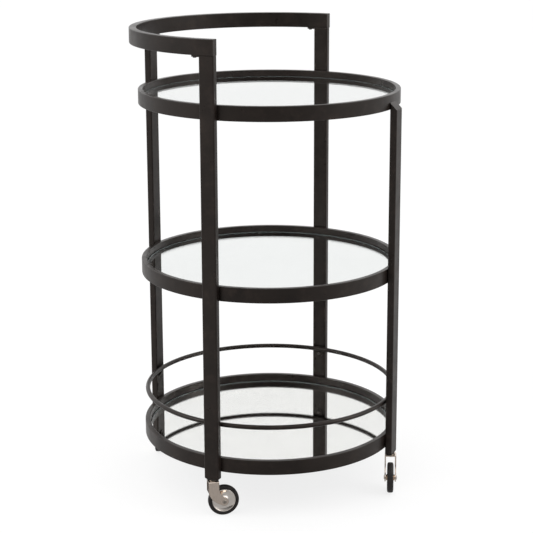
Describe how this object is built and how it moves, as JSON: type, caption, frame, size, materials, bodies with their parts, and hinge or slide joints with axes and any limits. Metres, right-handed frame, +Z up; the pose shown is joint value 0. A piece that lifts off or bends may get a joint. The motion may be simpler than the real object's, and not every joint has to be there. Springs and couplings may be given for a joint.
{
  "type": "bar cart on wheels",
  "caption": "Round bar cart with tiered shelves of glass and mirror in tube rings, a half-ring push handle, a bottle rail and swivel casters.",
  "frame": {"origin": "on the floor, on the vertical axis of the round shelves, which is the middle of the footprint to within 6 mm", "axes": "+Z up; +Y towards the closed back of the handle; the short leg stands at -Y; +X to the right seen from the short leg"},
  "size_m": [0.5579, 0.5652, 0.916],
  "materials": {
    "frame_metal": "semi-gloss blackened bronze",
    "clear_glass": "clear polished, faint green edge",
    "mirror_glass": "silvered, polished",
    "clear_pads": "soft clear",
    "black_screws": "black oxide",
    "zinc_inserts": "zinc plated",
    "plug_plastic": "fine grained",
    "caster_steel": "zinc plated",
    "caster_fork_steel": "satin nickel, stamped",
    "wheel_metal": "bright pressed steel",
    "bush_plastic": "smooth",
    "tyre_rubber": "matt, light mould line"
  },
  "bodies": {
    "frame": {"shelf_ring_bottom": "frame_metal", "shelf_ledge_bottom": "frame_metal", "shelf_pads_bottom": "clear_pads", "shelf_screws_bottom": "black_screws", "shelf_ring_middle": "frame_metal", "shelf_ledge_middle": "frame_metal", "shelf_pads_middle": "clear_pads", "shelf_screws_middle": "black_screws", "shelf_ring_top": "frame_metal", "shelf_ledge_top": "frame_metal", "shelf_pads_top": "clear_pads", "shelf_screws_top": "black_screws", "glass_top": "clear_glass", "glass_middle": "clear_glass", "mirror_bottom": "mirror_glass", "leg_right": "frame_metal", "leg_plug_right": "plug_plastic", "leg_back": "frame_metal", "leg_plug_back": "plug_plastic", "leg_left": "frame_metal", "leg_plug_left": "plug_plastic", "leg_front": "frame_metal", "leg_plug_front": "plug_plastic", "leg_top_cap_front": "frame_metal", "thread_inserts": "zinc_inserts", "handle": "frame_metal", "handle_end_caps": "frame_metal", "handle_tabs": "frame_metal", "handle_screws": "black_screws", "gallery_rail": "frame_metal", "rail_tabs": "frame_metal", "rail_screws": "black_screws", "swivel_washers": "caster_steel", "caster_stem_right": "caster_steel", "caster_stem_back": "caster_steel", "caster_stem_left": "caster_steel", "caster_stem_front": "caster_steel"},
    "swivel_right": {"caster_fork_right": "caster_fork_steel", "caster_axle_right": "caster_steel"},
    "wheel_right": {"caster_bush_right": "bush_plastic", "caster_wheel_right": "wheel_metal", "caster_tyre_right": "tyre_rubber"},
    "swivel_back": {"caster_fork_back": "caster_fork_steel", "caster_axle_back": "caster_steel"},
    "wheel_back": {"caster_bush_back": "bush_plastic", "caster_wheel_back": "wheel_metal", "caster_tyre_back": "tyre_rubber"},
    "swivel_left": {"caster_fork_left": "caster_fork_steel", "caster_axle_left": "caster_steel"},
    "wheel_left": {"caster_bush_left": "bush_plastic", "caster_wheel_left": "wheel_metal", "caster_tyre_left": "tyre_rubber"},
    "swivel_front": {"caster_fork_front": "caster_fork_steel", "caster_axle_front": "caster_steel"},
    "wheel_front": {"caster_bush_front": "bush_plastic", "caster_wheel_front": "wheel_metal", "caster_tyre_front": "tyre_rubber"}
  },
  "joints": [
    {"name": "swivel_right_turn", "type": "hinge", "parent": "frame", "child": "swivel_right", "pos_m": [0.264, 0, 0.072], "axis": [0, 0, 1], "continuous": true},
    {"name": "wheel_right_roll", "type": "hinge", "parent": "swivel_right", "child": "wheel_right", "pos_m": [0.24668, -0.01, 0.03], "axis": [0.5, -0.866, 0], "continuous": true},
    {"name": "swivel_back_turn", "type": "hinge", "parent": "frame", "child": "swivel_back", "pos_m": [0, 0.264, 0.072], "axis": [0, 0, 1], "continuous": true},
    {"name": "wheel_back_roll", "type": "hinge", "parent": "swivel_back", "child": "wheel_back", "pos_m": [-0.01813, 0.25555, 0.03], "axis": [0.4226, -0.9063, 0], "continuous": true},
    {"name": "swivel_left_turn", "type": "hinge", "parent": "frame", "child": "swivel_left", "pos_m": [-0.264, 0, 0.072], "axis": [0, 0, 1], "continuous": true},
    {"name": "wheel_left_roll", "type": "hinge", "parent": "swivel_left", "child": "wheel_left", "pos_m": [-0.25196, -0.01597, 0.03], "axis": [0.7986, 0.6018, 0], "continuous": true},
    {"name": "swivel_front_turn", "type": "hinge", "parent": "frame", "child": "swivel_front", "pos_m": [0, -0.264, 0.072], "axis": [0, 0, 1], "continuous": true},
    {"name": "wheel_front_roll", "type": "hinge", "parent": "swivel_front", "child": "wheel_front", "pos_m": [-0.01873, -0.271, 0.03], "axis": [0.3502, -0.9367, 0], "continuous": true}
  ]
}
